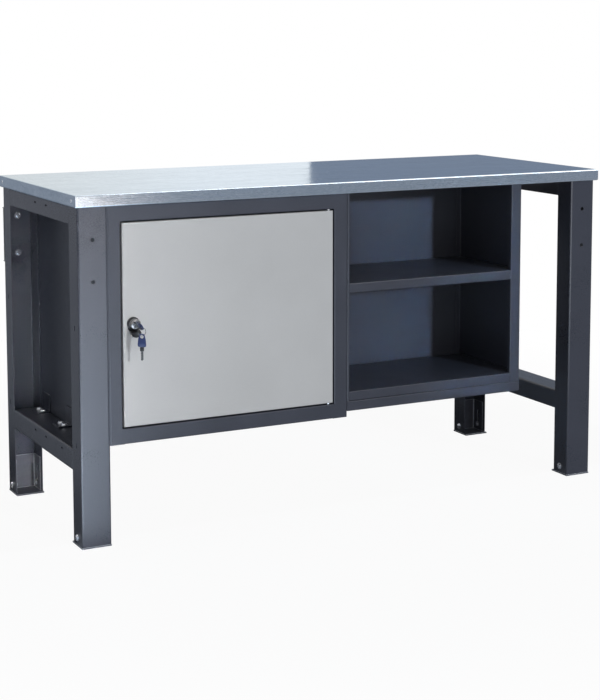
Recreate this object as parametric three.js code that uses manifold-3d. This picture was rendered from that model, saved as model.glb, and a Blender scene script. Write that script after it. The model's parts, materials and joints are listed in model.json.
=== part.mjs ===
// Workshop bench: a folded steel worktop on two welded side frames, with a lockable cabinet
// at the left and an open shelf unit beside it. Millimetres, +Z up, the front faces -Y.
import * as THREE from 'three';
import { mergeVertices } from 'three/addons/utils/BufferGeometryUtils.js';
import Module from 'manifold-3d';

const wasm = await Module();
wasm.setup();

// Overall size
const benchWidth = 1500;
const benchDepth = 600;
const benchHeight = 850;

// Gap between pieces that are seated on each other
const seat = 0.3;

// Roundness: steps in a right-angle bend are twice this, and sides of a round piece
const bendSteps = 1;
const roundSides = 16;

// Worktop tray and the board inside it
const lipHeight = 30;
const traySheet = 1.5;
const trayInnerBend = 1.5;
const trayReturn = 14;

// Side frames: channel legs and the crosspieces welded between them
const sideOverhang = 7;
const frontOverhang = 10;
const frameSheet = 2.5;
const frameInnerBend = 2;
const legWeb = 75;
const legFlange = 60;
const upperCrossHeight = 43;
const lowerCrossHeight = 53;
const lowerCrossDrop = 11.7;
const lowerCrossReturn = 25;

// Holes and slots of the side frames
const accessoryHole = 10;
const accessoryHoleDrop = 77;
const accessoryHolePitch = 100;
const slotWidth = 4;
const slotLength = 12;
const legSlotInset = 29;
const legSlotHeights = [248, 531];
const lowerCrossSlots = [-152, -31, 51];
const upperCrossSlots = [-64, 20];
const crossSlotDrop = 15;

// Height-adjusting feet
const footPlate = 4;
const footSheet = 2.5;
const footInnerBend = 2;
const footHeight = 90;
const footFlange = 50;
const footToe = 10;
const footTravel = 40;
const footPlay = 0.5;
const footBoltHeight = 22;
const footBoltInset = 32;

// Hexagon bolts
const boltRadius = 4;
const boltHoleRadius = 4.4;
const boltHeadWidth = 13;
const boltHeadHeight = 5;
const nutHeight = 6;
const boltTail = 1.5;

// Tie panel across the rear legs
const tieSheet = 1.5;
const tieDepth = 9;
const tieMargin = 22;

// Folded sheet of the cabinet and the shelf unit
const panelSheet = 1.25;
const panelInnerBend = 1.25;
const rearFlange = 15;

// Cabinet
const cabinetWidth = 643;
const cabinetRearInset = 40;
const cabinetHeight = 575;
const lockStile = 31.8;
const hingeStile = 37.5;
const railHeight = 37.5;
const stileReturn = 19.5;
const stopLip = 10;
const railReturn = 16;
const wallSkirt = 20;
const skirtInset = 40;
const skirtRearInset = 4;

// Cabinet shelf
const shelfLip = 25;
const shelfLipReturn = 10;
const shelfSetback = 70;
const shelfRise = 290;

// Brackets that tie the cabinet to the left frame
const bracketSheet = 3;
const bracketInnerBend = 2;
const bracketTab = 37;
const bracketHeight = 46;
const bracketWidth = 48;
const bracketFrontInset = 234;
const bracketRearInset = 52;
const bracketBoltPitch = 26;
const bracketBoltInset = 19;

// Door
const doorGap = 3.5;
const doorDepth = 18;
const doorReturn = 12;
const stiffenerWidth = 60;
const stiffenerCrown = 30;
const stiffenerDepth = 13;
const hingeInset = 10;
const hingeSetback = 7.5;
const hingePinRadius = 3;
const hingePinPlay = 0.35;
const hingePinHead = 4.4;
const hingePinHeadHeight = 2.5;
const hingePinReach = 12;

// Cam lock in its finger pull
const lockInset = 25.5;
const lockRise = 5;
const pullRadius = 15.5;
const pullBase = 6;
const pullReach = 22;
const pullDrop = 32;
const pullLobeRadius = 13;
const pullLipThickness = 5;
const pullEdge = 1.5;
const barrelRadius = 9.3;
const barrelPlay = 0.3;
const barrelFlangeRadius = 13;
const barrelFlange = 15;
const lockNutWidth = 24;
const lockNutHeight = 5;
const plugRadius = 6;
const plugPlay = 0.3;
const plugRecess = 0.5;
const spigotRadius = 4;
const camScrewRadius = 5.5;
const camScrewHead = 3;
const camSheet = 2;
const camClearance = 1;
const camLength = 38;
const camHalfWidth = 7;

// Keys and their ring
const keySheet = 2.2;
const keyBladeHeight = 6;
const keyBladeLength = 23;
const keyCuts = 4;
const keyCutDepth = 1.6;
const keyPlay = 0.3;
const keyShoulder = 10;
const keyShoulderHeight = 8;
const keyTang = 12;
const keyTangHeight = 5;
const bowLength = 32;
const bowWidth = 21.5;
const bowTipWidth = 13;
const bowCorner = 2;
const bowThickness = 3;
const bowHoleRadius = 4.4;
const bowHoleInset = 7;
const ringRadius = 10;
const ringWire = 0.8;
const ringDrop = 1.7;
const spareKeyDrop = 1.6;
const keyTurn = THREE.MathUtils.degToRad(-25);
const spareKeyTurn = THREE.MathUtils.degToRad(50);

// Open shelf unit
const unitWidth = 530;
const unitDepth = 297;
const unitHeight = 561;
const unitBase = 26;
const unitBaseReturn = 12;
const unitFlange = 31;
const unitFlangeReturn = 14;
const unitFrontReturn = 6;
const unitShelfLip = 25;
const unitShelfRise = 305;

// Places that follow from the sizes above
const lipBottom = benchHeight - lipHeight;
const frameTop = lipBottom - seat;
const frameSide = benchWidth / 2 - sideOverhang;
const frameFront = benchDepth / 2 - frontOverhang;
const legCentre = frameSide - legWeb / 2;
const legBottom = footPlate + seat;
const holeHeights = [lipBottom - accessoryHoleDrop, lipBottom - accessoryHoleDrop - accessoryHolePitch];
const crossHalf = frameFront - legFlange - seat;
const bracketPlaces = [bracketFrontInset - crossHalf, crossHalf - bracketRearInset];

const frontFace = -frameFront;
const cabinetLeft = -frameSide + legWeb + seat;
const cabinetRight = cabinetLeft + cabinetWidth;
const cabinetRear = frameFront - cabinetRearInset;
const cabinetBottom = frameTop - cabinetHeight;
const lowerCrossTop = cabinetBottom - lowerCrossDrop;
const innerLeft = cabinetLeft + panelSheet + seat;
const innerRight = cabinetRight - panelSheet - seat;

const doorLeft = cabinetLeft + lockStile + doorGap;
const doorRight = cabinetRight - hingeStile - doorGap;
const doorBottom = cabinetBottom + railHeight + doorGap;
const doorTop = frameTop - railHeight - doorGap;
const hingeX = doorRight - hingeInset;
const hingeY = frontFace + hingeSetback;

const lockX = doorLeft + lockInset;
const lockZ = (doorBottom + doorTop) / 2 + lockRise;
const pullFront = frontFace - seat - pullBase;
const barrelFront = pullFront - seat - barrelFlange;
const plugFront = barrelFront + plugRecess;
const camFront = frontFace + stileReturn + panelSheet + camClearance;
const barrelRear = camFront - seat;
const keyReach = bowLength - bowHoleInset + keyShoulder;
const keyHoleY = plugFront - seat - keyReach;
const ringZ = lockZ - ringDrop - ringRadius;
const spareHoleZ = ringZ - ringRadius - spareKeyDrop;

const unitLeft = cabinetRight + seat;
const unitRight = unitLeft + unitWidth;
const unitRear = frontFace + unitDepth;
const unitBottom = frameTop - unitHeight;
const unitBaseTop = unitBottom + unitBase;

// The box of the whole bench, keys included, is centred over the origin
const spareReach = (bowWidth * Math.cos(spareKeyTurn) + bowThickness * Math.sin(spareKeyTurn)) / 2;
const frontReach = Math.max(bowHoleInset, spareReach) - keyHoleY;
const rearReach = benchDepth / 2;
const bench = new THREE.Group();
bench.position.y = (frontReach - rearReach) / 2;

// Turns a closed three.js geometry into a solid that can be cut and joined.
function toSolid(geometry) {
  const bare = geometry.clone();
  bare.deleteAttribute('normal');
  bare.deleteAttribute('uv');
  const merged = mergeVertices(bare, 1e-4);
  const position = merged.attributes.position;
  const index = merged.index.array;
  const corner = [new THREE.Vector3(), new THREE.Vector3(), new THREE.Vector3()];
  const faces = [];
  let volume = 0;
  for (let i = 0; i < index.length; i += 3) {
    const [a, b, c] = [index[i], index[i + 1], index[i + 2]];
    if (a === b || b === c || c === a) continue;
    corner[0].fromBufferAttribute(position, a);
    corner[1].fromBufferAttribute(position, b);
    corner[2].fromBufferAttribute(position, c);
    volume += corner[0].dot(corner[1].cross(corner[2]));
    faces.push([a, b, c]);
  }
  if (volume < 0) faces.forEach((face) => face.reverse());
  const mesh = new wasm.Mesh({
    numProp: 3,
    vertProperties: new Float32Array(position.array),
    triVerts: new Uint32Array(faces.flat()),
  });
  return new wasm.Manifold(mesh);
}

function toGeometry(solid) {
  const mesh = solid.getMesh();
  const geometry = new THREE.BufferGeometry();
  geometry.setAttribute('position', new THREE.BufferAttribute(mesh.vertProperties, 3));
  geometry.setIndex(new THREE.BufferAttribute(mesh.triVerts, 1));
  geometry.computeVertexNormals();
  return geometry;
}

function cut(solid, ...tools) {
  return tools.reduce((left, tool) => left.subtract(tool), solid);
}

function join(solid, ...others) {
  return others.reduce((sum, other) => sum.add(other), solid);
}

// Moves an open path sideways; a positive distance is to the left of its direction.
function offsetPath(path, distance) {
  return path.map((point, i) => {
    const before = i > 0 ? point.clone().sub(path[i - 1]).normalize() : null;
    const after = i < path.length - 1 ? path[i + 1].clone().sub(point).normalize() : null;
    const first = before ?? after;
    const last = after ?? before;
    const sum = new THREE.Vector2(-first.y - last.y, first.x + last.x);
    return point.clone().addScaledVector(sum, distance / (1 + first.dot(last)));
  });
}

// Draws a path with each corner rounded by the radius for a left or a right turn.
function traceRounded(shape, path, leftRadius, rightRadius) {
  for (let i = 0; i < path.length; i += 1) {
    const point = path[i];
    if (i === 0 || i === path.length - 1) {
      if (shape.curves.length === 0 && i === 0) shape.moveTo(point.x, point.y);
      else shape.lineTo(point.x, point.y);
      continue;
    }
    const before = point.clone().sub(path[i - 1]).normalize();
    const after = path[i + 1].clone().sub(point).normalize();
    const turn = Math.atan2(before.cross(after), before.dot(after));
    const radius = turn > 0 ? leftRadius : rightRadius;
    const back = radius * Math.tan(Math.abs(turn) / 2);
    const start = point.clone().addScaledVector(before, -back);
    const side = Math.sign(turn) * radius;
    const centre = new THREE.Vector2(start.x - before.y * side, start.y + before.x * side);
    const angle = Math.atan2(start.y - centre.y, start.x - centre.x);
    shape.lineTo(start.x, start.y);
    shape.absarc(centre.x, centre.y, radius, angle, angle + turn, turn < 0);
  }
}

// The section of a folded sheet. The points run along one face, and the sheet lies to the
// left of them when side is 1 and to the right when side is -1.
function foldedSection(points, sheet, innerBend, side) {
  const face = points.map(([x, y]) => new THREE.Vector2(x, y));
  const left = side > 0 ? offsetPath(face, sheet) : face;
  const right = side > 0 ? face : offsetPath(face, -sheet);
  const shape = new THREE.Shape();
  traceRounded(shape, left, innerBend, innerBend + sheet);
  traceRounded(shape, right.toReversed(), innerBend, innerBend + sheet);
  return shape;
}

function extruded(shape, length, toWorld, curveSegments) {
  const options = { depth: length, bevelEnabled: false, curveSegments };
  return toSolid(new THREE.ExtrudeGeometry(shape, options).applyMatrix4(toWorld));
}

// Sections drawn in YZ, XZ and XY, drawn out along the remaining axis.
function alongX(shape, from, to, steps = bendSteps) {
  const axes = new THREE.Matrix4().makeBasis(
    new THREE.Vector3(0, 1, 0), new THREE.Vector3(0, 0, 1), new THREE.Vector3(1, 0, 0));
  return extruded(shape, to - from, axes.setPosition(from, 0, 0), steps);
}

function alongY(shape, from, to, steps = bendSteps) {
  const axes = new THREE.Matrix4().makeBasis(
    new THREE.Vector3(1, 0, 0), new THREE.Vector3(0, 0, 1), new THREE.Vector3(0, -1, 0));
  return extruded(shape, to - from, axes.setPosition(0, to, 0), steps);
}

function alongZ(shape, from, to, steps = bendSteps) {
  return extruded(shape, to - from, new THREE.Matrix4().makeTranslation(0, 0, from), steps);
}

function box(x0, x1, y0, y1, z0, z1) {
  const geometry = new THREE.BoxGeometry(x1 - x0, y1 - y0, z1 - z0);
  return toSolid(geometry.translate((x0 + x1) / 2, (y0 + y1) / 2, (z0 + z1) / 2));
}

// A round rod, or a hexagon when sides is 6, from one end point along an axis.
const axisTurns = {
  x: new THREE.Matrix4().makeRotationZ(-Math.PI / 2),
  y: new THREE.Matrix4(),
  z: new THREE.Matrix4().makeRotationX(Math.PI / 2),
};

function rod(axis, radius, start, length, sides = roundSides) {
  const geometry = new THREE.CylinderGeometry(radius, radius, length, sides);
  geometry.translate(0, length / 2, 0);
  return toSolid(geometry.applyMatrix4(axisTurns[axis]).translate(...start));
}

// A turned piece: the profile gives radius and distance along the axis.
function turned(axis, profile, start) {
  const points = profile.map(([radius, along]) => new THREE.Vector2(radius, along));
  const geometry = new THREE.LatheGeometry(points, roundSides);
  return toSolid(geometry.applyMatrix4(axisTurns[axis]).translate(...start));
}

// A slab whose top and bottom edges are rounded; its top face lies at z = 0.
function roundedSlab(width, length, height, radius) {
  const x = width / 2 - radius;
  const y = length / 2 - radius;
  const outline = new THREE.Shape().moveTo(-x, -y).lineTo(x, -y).lineTo(x, y).lineTo(-x, y);
  const geometry = new THREE.ExtrudeGeometry(outline, {
    depth: height - 2 * radius,
    bevelThickness: radius,
    bevelSize: radius,
    bevelSegments: 2 * bendSteps,
  });
  return toSolid(geometry.translate(0, 0, radius - height));
}

// A sheet folded down on all four sides, with a return flange turned in along the foot.
function foldedPan(width, length, depth, sheet, innerBend, flange) {
  const outside = roundedSlab(width, length, depth, innerBend + sheet);
  const innerSlab = roundedSlab(width - 2 * sheet, length - 2 * sheet, depth - 2 * sheet, innerBend);
  const inside = toSolid(toGeometry(innerSlab).translate(0, 0, -sheet));
  const x = width / 2 - sheet - flange;
  const y = length / 2 - sheet - flange;
  return cut(outside, inside, box(-x, x, -y, y, -depth - sheet, -depth / 2));
}

function hexRadius(widthAcrossFlats) {
  return widthAcrossFlats / Math.sqrt(3);
}

// A hexagon bolt with its nut, clamping a stack of the given grip. It starts under the head,
// and the shank runs along the axis when sense is 1 and against it when sense is -1.
function boltWithNut(axis, start, grip, sense = 1) {
  const place = 'xyz'.indexOf(axis);
  const stretch = (radius, from, to, sides) => {
    const end = [...start];
    end[place] += Math.min(sense * from, sense * to);
    return rod(axis, radius, end, to - from, sides);
  };
  const hexagon = hexRadius(boltHeadWidth);
  const head = stretch(hexagon, -seat - boltHeadHeight, -seat, 6);
  const nut = stretch(hexagon, grip + seat, grip + seat + nutHeight, 6);
  const shank = stretch(boltRadius, -seat - 1, grip + seat + nutHeight + boltTail, roundSides);
  return join(head, shank, nut);
}

const finishes = {
  galvanised: { color: 0xc3cad2, roughness: 0.35, metalness: 0.9 },
  board: { color: 0xb08d62, roughness: 0.85, metalness: 0 },
  darkPaint: { color: 0x3f434e, roughness: 0.5, metalness: 0.1 },
  doorPaint: { color: 0xb6babd, roughness: 0.55, metalness: 0.1 },
  zinc: { color: 0xa9adb0, roughness: 0.3, metalness: 0.95 },
  chrome: { color: 0xd8dadc, roughness: 0.12, metalness: 1 },
  blackPlastic: { color: 0x1b1b1d, roughness: 0.45, metalness: 0 },
  bluePlastic: { color: 0x27386f, roughness: 0.35, metalness: 0 },
  keySteel: { color: 0x8b8880, roughness: 0.3, metalness: 0.9 },
};

function add(group, name, solid, finish) {
  const mesh = new THREE.Mesh(toGeometry(solid), new THREE.MeshStandardMaterial(finishes[finish]));
  mesh.name = name;
  group.add(mesh);
  return mesh;
}

function subgroup(parent) {
  const group = new THREE.Group();
  parent.add(group);
  return group;
}

// Worktop: the board fills the tray and is held in by the return flange.
const worktop = subgroup(bench);
worktop.position.z = benchHeight;
const tray = foldedPan(benchWidth, benchDepth, lipHeight, traySheet, trayInnerBend, trayReturn);
add(worktop, 'worktop_tray', tray, 'galvanised');
const boardInset = 2 * (traySheet + seat);
const board = roundedSlab(
  benchWidth - boardInset, benchDepth - boardInset, lipHeight - boardInset, trayInnerBend);
add(worktop, 'worktop_board', board, 'board').position.z = -boardInset / 2;

// A leg is a channel with its web outwards. It is drawn for a front corner.
function legSolid(outward) {
  const half = legWeb / 2;
  const section = foldedSection(
    [[-half, legFlange], [-half, 0], [half, 0], [half, legFlange]], frameSheet, frameInnerBend, 1);
  const holes = holeHeights.map((z) => rod('y', accessoryHole / 2, [0, -1, z], frameSheet + 2));
  const boltHole = rod('x', boltHoleRadius, [-legWeb, footBoltInset, footBoltHeight], 2 * legWeb);
  const slotStart = Math.min(0, outward * legWeb);
  const slots = legSlotHeights.map((z) => box(
    slotStart, slotStart + legWeb,
    legSlotInset - slotWidth / 2, legSlotInset + slotWidth / 2,
    z - slotLength / 2, z + slotLength / 2));
  return cut(alongZ(section, legBottom, frameTop), ...holes, boltHole, ...slots);
}

// A foot is a smaller channel welded to a floor plate; slots let it slide down past its bolts.
function footSolid() {
  const half = legWeb / 2 - frameSheet - footPlay;
  const back = frameSheet + footPlay;
  const section = foldedSection(
    [[-half, back + footFlange], [-half, back], [half, back], [half, back + footFlange]],
    footSheet, footInnerBend, 1);
  const channel = alongZ(section, footPlate / 2, footPlate + footHeight);
  const plate = box(-legWeb / 2, legWeb / 2, 0, legFlange + footToe, 0, footPlate);
  const slotRadius = boltHoleRadius;
  const slot = join(
    rod('x', slotRadius, [-legWeb, footBoltInset, footBoltHeight], 2 * legWeb),
    rod('x', slotRadius, [-legWeb, footBoltInset, footBoltHeight + footTravel], 2 * legWeb),
    box(-legWeb, legWeb, footBoltInset - slotRadius, footBoltInset + slotRadius,
      footBoltHeight, footBoltHeight + footTravel));
  return join(cut(channel, slot), plate);
}

const footGrip = frameSheet + footPlay + footSheet;
const corners = [
  { name: 'front_left', x: -1, y: -1 },
  { name: 'front_right', x: 1, y: -1 },
  { name: 'rear_left', x: -1, y: 1 },
  { name: 'rear_right', x: 1, y: 1 },
];
for (const corner of corners) {
  const place = subgroup(bench);
  place.position.set(corner.x * legCentre, corner.y * frameFront, 0);
  place.rotation.z = corner.y > 0 ? Math.PI : 0;
  const outward = -corner.x * corner.y;
  add(place, `${corner.name}_leg`, legSolid(outward), 'darkPaint');
  add(place, `${corner.name}_foot`, footSolid(), 'zinc');
  for (const [name, side] of [['outer', outward], ['inner', -outward]]) {
    const head = [side * legWeb / 2, footBoltInset, footBoltHeight];
    add(place, `${corner.name}_foot_bolt_${name}`, boltWithNut('x', head, footGrip, -side), 'zinc');
  }
}

// Crosspieces: channels between the legs of a side frame, with the open side down. The edges
// of the lower ones are turned in.
function crossSolid(height, top, inturn, slotPlaces, outward) {
  const half = legWeb / 2;
  const edges = inturn > 0 ? [[-half + inturn, top - height], [half - inturn, top - height]] : [];
  const section = foldedSection(
    [
      ...edges.slice(0, 1),
      [-half, top - height],
      [-half, top],
      [half, top],
      [half, top - height],
      ...edges.slice(1),
    ],
    frameSheet, frameInnerBend, -1);
  const slotTop = top - crossSlotDrop + slotWidth / 2;
  const slotStart = Math.min(0, outward * legWeb);
  const slots = slotPlaces.map((y) => box(
    slotStart, slotStart + legWeb,
    y - slotLength / 2, y + slotLength / 2,
    slotTop - slotWidth, slotTop));
  return cut(alongY(section, -crossHalf, crossHalf), ...slots);
}

const bracketWall = cabinetLeft - seat;
const bracketBoltX = bracketWall - bracketBoltInset;
const bracketBolts = bracketPlaces.flatMap(
  (y) => [y - bracketBoltPitch / 2, y + bracketBoltPitch / 2]);
function bracketBoltHole(x, y) {
  return rod('z', boltHoleRadius, [x, y, lowerCrossTop - lowerCrossHeight / 2], lowerCrossHeight);
}

for (const side of [{ name: 'left', x: -1 }, { name: 'right', x: 1 }]) {
  const frame = subgroup(bench);
  frame.position.x = side.x * legCentre;
  const upper = crossSolid(upperCrossHeight, frameTop, 0, upperCrossSlots, side.x);
  const lower = crossSolid(lowerCrossHeight, lowerCrossTop, lowerCrossReturn, lowerCrossSlots, side.x);
  const boltHoles = side.x < 0 ? bracketBolts.map((y) => bracketBoltHole(bracketBoltX + legCentre, y)) : [];
  add(frame, `${side.name}_upper_crosspiece`, upper, 'darkPaint');
  add(frame, `${side.name}_lower_crosspiece`, cut(lower, ...boltHoles), 'darkPaint');
}

// Brackets: angle pieces bolted to the left lower crosspiece and fixed to the cabinet wall.
const cabinet = subgroup(bench);
const bracketFoot = lowerCrossTop + seat;
const bracketSection = foldedSection(
  [
    [bracketWall - bracketTab, bracketFoot],
    [bracketWall, bracketFoot],
    [bracketWall, bracketFoot + bracketHeight],
  ],
  bracketSheet, bracketInnerBend, 1);
const bracketNames = ['front', 'rear'];
bracketPlaces.forEach((y, i) => {
  const blank = alongY(bracketSection, y - bracketWidth / 2, y + bracketWidth / 2);
  const boltHoles = bracketBolts.map((bolt) => bracketBoltHole(bracketBoltX, bolt));
  add(cabinet, `cabinet_bracket_${bracketNames[i]}`, cut(blank, ...boltHoles), 'darkPaint');
});
const bracketGrip = frameSheet + seat + bracketSheet;
bracketBolts.forEach((y, i) => {
  const bolt = boltWithNut('z', [bracketBoltX, y, bracketFoot + bracketSheet], bracketGrip, -1);
  add(cabinet, `bracket_bolt_${i + 1}`, bolt, 'zinc');
});

// Tie panel: a shallow channel bolted behind the rear legs.
const tieFront = frameFront + seat;
const tieTop = holeHeights[0] + tieMargin;
const tieBottom = holeHeights[1] - tieMargin;
const tieSection = foldedSection(
  [
    [tieFront + tieDepth, tieTop],
    [tieFront, tieTop],
    [tieFront, tieBottom],
    [tieFront + tieDepth, tieBottom],
  ],
  tieSheet, tieSheet, 1);
const tieBoltPlaces = [-legCentre, legCentre].flatMap((x) => holeHeights.map((z) => [x, z]));
const tieHoles = tieBoltPlaces.map(([x, z]) => rod(
  'y', boltHoleRadius, [x, frameFront - frameSheet, z], 2 * frameSheet + tieDepth));
add(bench, 'rear_tie_panel', cut(alongX(tieSection, -frameSide, frameSide), ...tieHoles), 'darkPaint');
const tieGrip = frameSheet + seat + tieSheet;
tieBoltPlaces.forEach(([x, z], i) => {
  add(bench, `tie_bolt_${i + 1}`, boltWithNut('y', [x, frameFront - frameSheet, z], tieGrip), 'zinc');
});

// Cabinet walls: each side is folded into the stile beside the door. The left one reaches down
// past the crosspiece that it is fixed to.
const lockSideSection = foldedSection([
  [cabinetLeft + rearFlange, cabinetRear],
  [cabinetLeft, cabinetRear],
  [cabinetLeft, frontFace],
  [cabinetLeft + lockStile, frontFace],
  [cabinetLeft + lockStile, frontFace + stileReturn],
  [cabinetLeft + lockStile + stopLip, frontFace + stileReturn],
], panelSheet, panelInnerBend, 1);
const openingBottom = cabinetBottom + railHeight + seat;
const openingTop = frameTop - railHeight - seat;
const stopTrim = [[cabinetBottom - seat, openingBottom], [openingTop, frameTop + seat]].map(([z0, z1]) => box(
  cabinetLeft + lockStile, cabinetLeft + lockStile + 2 * stopLip,
  frontFace, frontFace + stileReturn + 2 * panelSheet, z0, z1));
const skirt = box(
  cabinetLeft, cabinetLeft + panelSheet,
  frontFace + skirtInset, cabinetRear - skirtRearInset,
  cabinetBottom - wallSkirt, cabinetBottom + wallSkirt);
const lockSide = join(cut(alongZ(lockSideSection, cabinetBottom, frameTop), ...stopTrim), skirt);
add(cabinet, 'cabinet_left_side', lockSide, 'darkPaint');

const hingeSideSection = foldedSection([
  [cabinetRight - rearFlange, cabinetRear],
  [cabinetRight, cabinetRear],
  [cabinetRight, frontFace],
  [cabinetRight - hingeStile, frontFace],
  [cabinetRight - hingeStile, frontFace + stileReturn],
], panelSheet, panelInnerBend, -1);
add(cabinet, 'cabinet_right_side', alongZ(hingeSideSection, cabinetBottom, frameTop), 'darkPaint');

// Top and bottom: each is folded into the rail above or below the door, between the stiles.
const deckRear = cabinetRear - panelSheet - panelInnerBend - seat;
const stileDepth = frontFace + stileReturn + panelSheet + seat;
const railNotches = [
  box(cabinetLeft, cabinetLeft + lockStile + seat, frontFace - 1, stileDepth, 0, benchHeight),
  box(cabinetRight - hingeStile - seat, cabinetRight, frontFace - 1, stileDepth, 0, benchHeight),
];
function deckSolid(face, inward, side) {
  const section = foldedSection([
    [deckRear, face + inward * rearFlange],
    [deckRear, face],
    [frontFace, face],
    [frontFace, face + inward * railHeight],
    [frontFace + railReturn, face + inward * railHeight],
  ], panelSheet, panelInnerBend, side);
  return cut(alongX(section, innerLeft, innerRight), ...railNotches);
}
const pinHoleBelow = rod(
  'z', hingePinRadius + hingePinPlay, [hingeX, hingeY, openingBottom - railHeight / 2], railHeight);
const pinHoleAbove = rod(
  'z', hingePinRadius + hingePinPlay, [hingeX, hingeY, openingTop - railHeight / 2], railHeight);
add(cabinet, 'cabinet_bottom', cut(deckSolid(cabinetBottom, 1, -1), pinHoleBelow), 'darkPaint');
add(cabinet, 'cabinet_top', cut(deckSolid(frameTop, -1, 1), pinHoleAbove), 'darkPaint');
const cabinetBack = box(
  cabinetLeft, cabinetRight, cabinetRear + seat, cabinetRear + seat + panelSheet, cabinetBottom, frameTop);
add(cabinet, 'cabinet_back', cabinetBack, 'darkPaint');

// A shelf has its front lip hemmed back and its rear lip turned down.
function shelfSection(front, rear, top, lip) {
  return foldedSection([
    [front + shelfLipReturn, top - lip],
    [front, top - lip],
    [front, top],
    [rear, top],
    [rear, top - lip],
  ], panelSheet, panelInnerBend, -1);
}
const shelfTop = cabinetBottom + shelfRise;
const shelfFront = frontFace + shelfSetback;
const cabinetShelf = alongX(shelfSection(shelfFront, deckRear, shelfTop, shelfLip), innerLeft, innerRight);
add(cabinet, 'cabinet_shelf', cabinetShelf, 'darkPaint');

// Door: a folded pan with a hat-section stiffener, swinging on two pins.
const door = subgroup(bench);
const doorWidth = doorRight - doorLeft;
const doorHeight = doorTop - doorBottom;
const doorBlank = foldedPan(doorWidth, doorHeight, doorDepth, panelSheet, panelInnerBend, doorReturn);
const doorUpright = toGeometry(doorBlank).rotateX(Math.PI / 2).translate(
  (doorLeft + doorRight) / 2, frontFace, (doorBottom + doorTop) / 2);
const doorPinHole = rod(
  'z', hingePinRadius + hingePinPlay, [hingeX, hingeY, doorBottom - 1], doorHeight + 2);
const barrelHole = rod('y', barrelRadius + barrelPlay, [lockX, frontFace - 1, lockZ], panelSheet + 2);
add(door, 'door_panel', cut(toSolid(doorUpright), doorPinHole, barrelHole), 'doorPaint');
const doorInside = frontFace + panelSheet + seat;
const doorMiddle = (doorLeft + doorRight) / 2;
const crownY = doorInside + stiffenerDepth;
const stiffenerSection = foldedSection([
  [doorMiddle - stiffenerWidth / 2, doorInside],
  [doorMiddle - stiffenerCrown / 2, doorInside],
  [doorMiddle - stiffenerCrown / 2, crownY],
  [doorMiddle + stiffenerCrown / 2, crownY],
  [doorMiddle + stiffenerCrown / 2, doorInside],
  [doorMiddle + stiffenerWidth / 2, doorInside],
], panelSheet, panelInnerBend, 1);
const stiffenerEnd = panelSheet + panelInnerBend + seat;
const stiffener = alongZ(stiffenerSection, doorBottom + stiffenerEnd, doorTop - stiffenerEnd);
add(door, 'door_stiffener', stiffener, 'darkPaint');

// A hinge pin has its head behind the rail and a collar that carries or steadies the door.
function pinSolid(railFace, outward) {
  const headFace = seat + panelSheet;
  const collar = doorGap - seat;
  const profile = [
    [0, -headFace - hingePinHeadHeight],
    [hingePinHead, -headFace - hingePinHeadHeight],
    [hingePinHead, -headFace],
    [hingePinRadius, -headFace],
    [hingePinRadius, seat],
    [hingePinHead, seat],
    [hingePinHead, collar],
    [hingePinRadius, collar],
    [hingePinRadius, doorGap + hingePinReach],
    [0, doorGap + hingePinReach],
  ];
  return turned('z', profile.map(([r, z]) => [r, outward * z]), [hingeX, hingeY, railFace]);
}
add(cabinet, 'hinge_pin_bottom', pinSolid(cabinetBottom + railHeight, 1), 'zinc');
add(cabinet, 'hinge_pin_top', pinSolid(frameTop - railHeight, -1), 'zinc');

// Finger pull: a round base with a lip below it that leaves room for the fingers behind.
const lock = subgroup(door);
const pullBaseRing = turned('y', [
  [barrelRadius + barrelPlay, 0],
  [pullRadius - pullEdge, 0],
  [pullRadius, pullEdge],
  [pullRadius, pullBase],
  [barrelRadius + barrelPlay, pullBase],
  [barrelRadius + barrelPlay, 0],
], [lockX, pullFront, lockZ]);
const lobeSide = new THREE.Shape();
lobeSide.moveTo(frontFace - seat, lockZ - barrelRadius);
lobeSide.lineTo(pullFront + seat, lockZ - barrelFlangeRadius - seat);
lobeSide.quadraticCurveTo(
  pullFront, lockZ - pullRadius, frontFace - seat - pullReach, lockZ - pullDrop + pullLobeRadius);
lobeSide.lineTo(frontFace - seat - pullReach, lockZ - pullDrop);
lobeSide.lineTo(frontFace - seat - pullReach + pullLipThickness, lockZ - pullDrop);
lobeSide.quadraticCurveTo(
  frontFace - seat - pullReach + pullLipThickness, lockZ - pullRadius - pullEdge,
  frontFace - seat, lockZ - pullRadius);
const lobeFront = new THREE.Shape();
lobeFront.moveTo(lockX + pullLobeRadius, lockZ - barrelRadius);
lobeFront.lineTo(lockX - pullLobeRadius, lockZ - barrelRadius);
lobeFront.absarc(lockX, lockZ - pullDrop + pullLobeRadius, pullLobeRadius, Math.PI, 2 * Math.PI);
const lobeSteps = roundSides / 4;
const lobeBlank = alongX(lobeSide, lockX - pullRadius, lockX + pullRadius, lobeSteps);
const lobeOutline = alongY(lobeFront, frontFace - 2 * pullReach, frontFace, lobeSteps);
const pullHoleStart = [lockX, frontFace - 2 * pullReach, lockZ];
const pullHole = rod('y', barrelRadius + barrelPlay, pullHoleStart, 2 * pullReach);
add(lock, 'lock_pull', cut(join(pullBaseRing, lobeBlank.intersect(lobeOutline)), pullHole), 'blackPlastic');

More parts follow.
